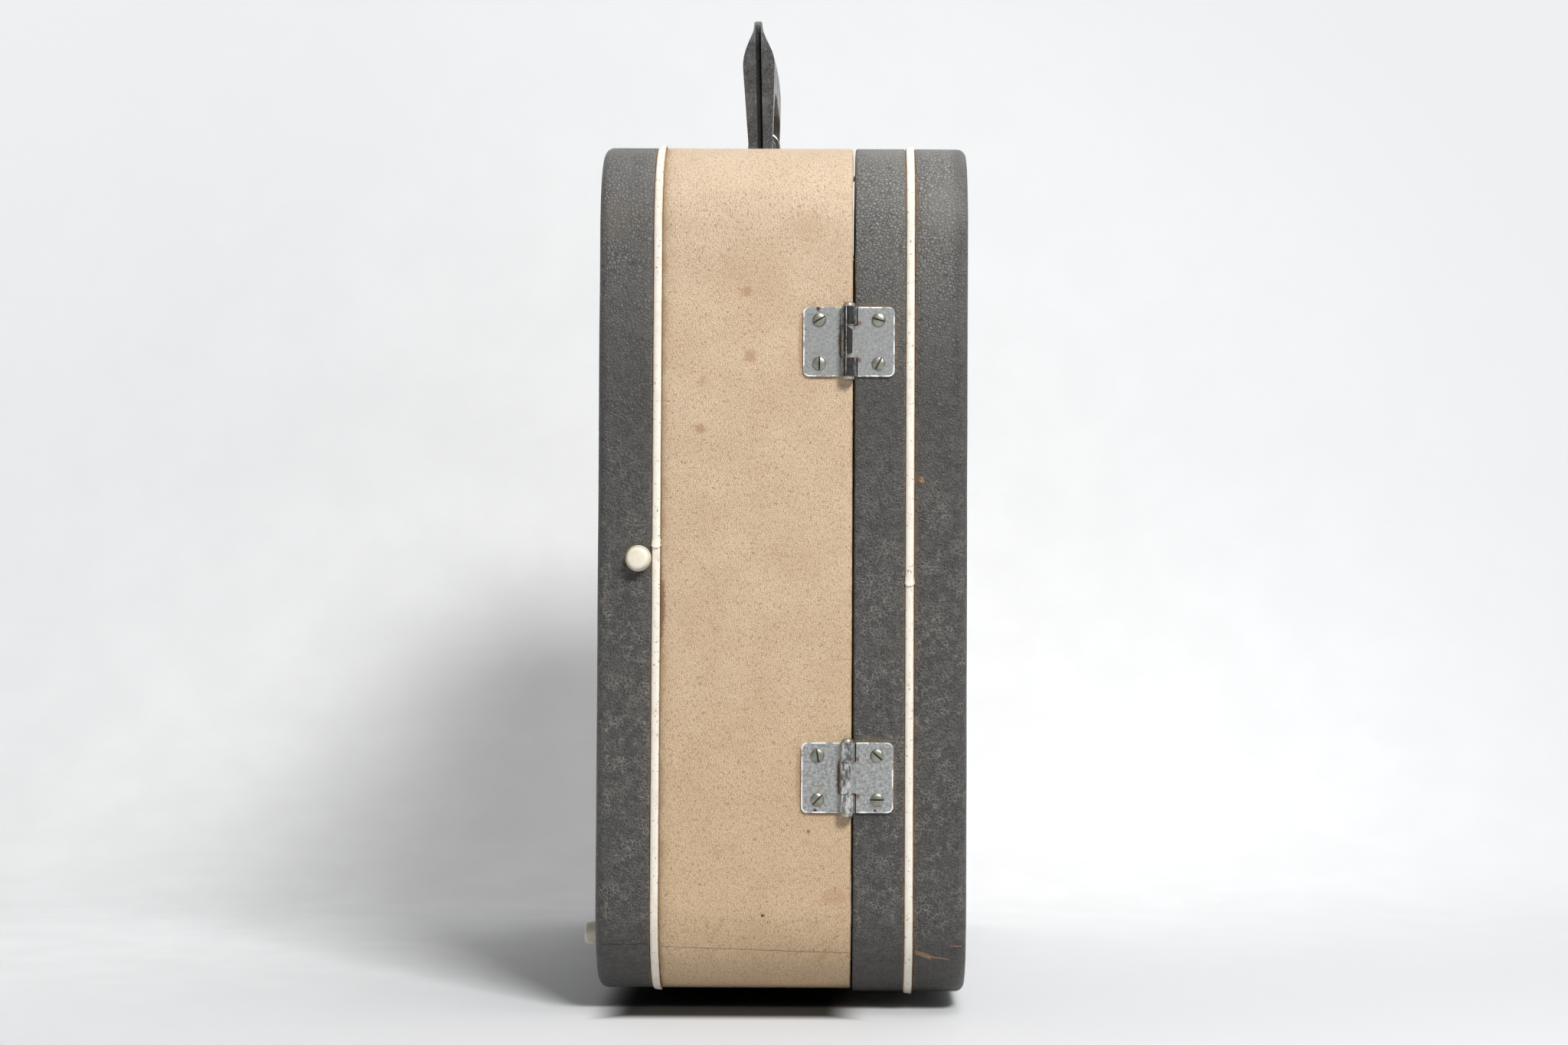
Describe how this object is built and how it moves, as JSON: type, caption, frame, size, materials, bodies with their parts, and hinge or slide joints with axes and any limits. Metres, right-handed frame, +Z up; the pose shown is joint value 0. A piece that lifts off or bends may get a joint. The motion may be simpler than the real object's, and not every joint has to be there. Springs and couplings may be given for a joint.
{
  "type": "portable typewriter case",
  "caption": "Wooden carrying case for a portable typewriter: deep body, shallow side-hinged lid, leathercloth bands with piping, folding top handle, studs and slide latches.",
  "frame": {"origin": "centre of the bounding box in X and Y, on the plane that the bottom studs stand on", "axes": "+Z up, to the handle; +X through the thickness, from the body shell to the lid; +Y along the width, from the hinge side to the latch side"},
  "size_m": [0.157, 0.376, 0.4238],
  "materials": {
    "dark_leathercloth": "dark grey-brown leathercloth with a fine pebbled grain, matt, worn",
    "tan_leathercloth": "light tan leathercloth with a very fine grain, spotted with age",
    "piping_plastic": "cream plastic piping, satin, with brown glue along its edges",
    "plywood": "plain plywood",
    "side_wood": "plain softwood",
    "lining_cloth": "dark flocked lining cloth",
    "ivory_plastic": "ivory plastic, polished and yellowed",
    "plain_steel": "plain steel, dull",
    "hinge_plate": "nickel-plated pressed steel, scratched and dulled",
    "screw_nickel": "nickel-plated, tarnished",
    "latch_nickel": "nickel-plated pressed steel",
    "loop_chrome": "bright chrome plate",
    "handle_plastic": "black moulded plastic, glossy with a scuffed edge",
    "pad_rubber": "black rubber"
  },
  "bodies": {
    "body": {"body_bottom_board": "side_wood", "body_corner_posts": "side_wood", "body_face_cover": "dark_leathercloth", "body_hinge_screws": "screw_nickel", "body_hinge_side_board": "side_wood", "body_large_panel": "plywood", "body_latch_side_board": "side_wood", "body_lining": "lining_cloth", "body_piping": "piping_plastic", "body_rim_cover": "tan_leathercloth", "body_top_board": "side_wood", "bottom_studs": "ivory_plastic", "clip_blocks": "side_wood", "clip_screws": "plain_steel", "front_handle_loop": "loop_chrome", "hinge_pins": "hinge_plate", "latch_rivets": "screw_nickel", "loop_backing_plates": "plain_steel", "lower_body_hinge_leaf": "hinge_plate", "lower_latch_case": "latch_nickel", "lying_studs": "ivory_plastic", "machine_rest_blocks": "side_wood", "machine_rest_pads": "pad_rubber", "rear_handle_loop": "loop_chrome", "rim_tacks": "plain_steel", "rim_tongue_strips": "plywood", "side_stud": "ivory_plastic", "stud_nails": "plain_steel", "upper_body_hinge_leaf": "hinge_plate", "upper_latch_case": "latch_nickel"},
    "lid": {"lid_bottom_board": "side_wood", "lid_corner_posts": "side_wood", "lid_face_cover": "dark_leathercloth", "lid_hinge_screws": "screw_nickel", "lid_hinge_side_board": "side_wood", "lid_large_panel": "plywood", "lid_latch_side_board": "side_wood", "lid_lining": "lining_cloth", "lid_piping": "piping_plastic", "lid_rim_cover": "dark_leathercloth", "lid_top_board": "side_wood", "lower_lid_hinge_leaf": "hinge_plate", "lower_strike": "latch_nickel", "strike_rivets": "screw_nickel", "upper_lid_hinge_leaf": "hinge_plate", "upper_strike": "latch_nickel"},
    "handle": {"handle_grip": "handle_plastic", "handle_core": "plain_steel", "handle_pegs": "plain_steel"},
    "upper_slide": {"upper_latch_slide": "latch_nickel"},
    "lower_slide": {"lower_latch_slide": "latch_nickel"},
    "hinge_side_hold_down": {"hinge_side_clip": "latch_nickel"},
    "latch_side_hold_down": {"latch_side_clip": "latch_nickel"}
  },
  "joints": [
    {"name": "lid_hinge", "type": "hinge", "parent": "body", "child": "lid", "pos_m": [0.0301, -0.1841, 0.1839], "axis": [0, 0, -1], "range_deg": [0, 180]},
    {"name": "handle_swing", "type": "hinge", "parent": "body", "child": "handle", "pos_m": [-0.0094, -0.001, 0.3671], "axis": [0, 1, 0], "range_deg": [-88, 91]},
    {"name": "upper_slide_travel", "type": "slide", "parent": "body", "child": "upper_slide", "axis": [0, 0, 1], "range_m": [0, 0.003]},
    {"name": "lower_slide_travel", "type": "slide", "parent": "body", "child": "lower_slide", "axis": [0, 0, 1], "range_m": [0, 0.003]},
    {"name": "hinge_side_clip_turn", "type": "hinge", "parent": "body", "child": "hinge_side_hold_down", "pos_m": [-0.0319, -0.1584, 0.193], "axis": [1, 0, 0], "range_deg": [0, 90]},
    {"name": "latch_side_clip_turn", "type": "hinge", "parent": "body", "child": "latch_side_hold_down", "pos_m": [-0.0319, 0.1564, 0.193], "axis": [-1, 0, 0], "range_deg": [0, 90]}
  ]
}
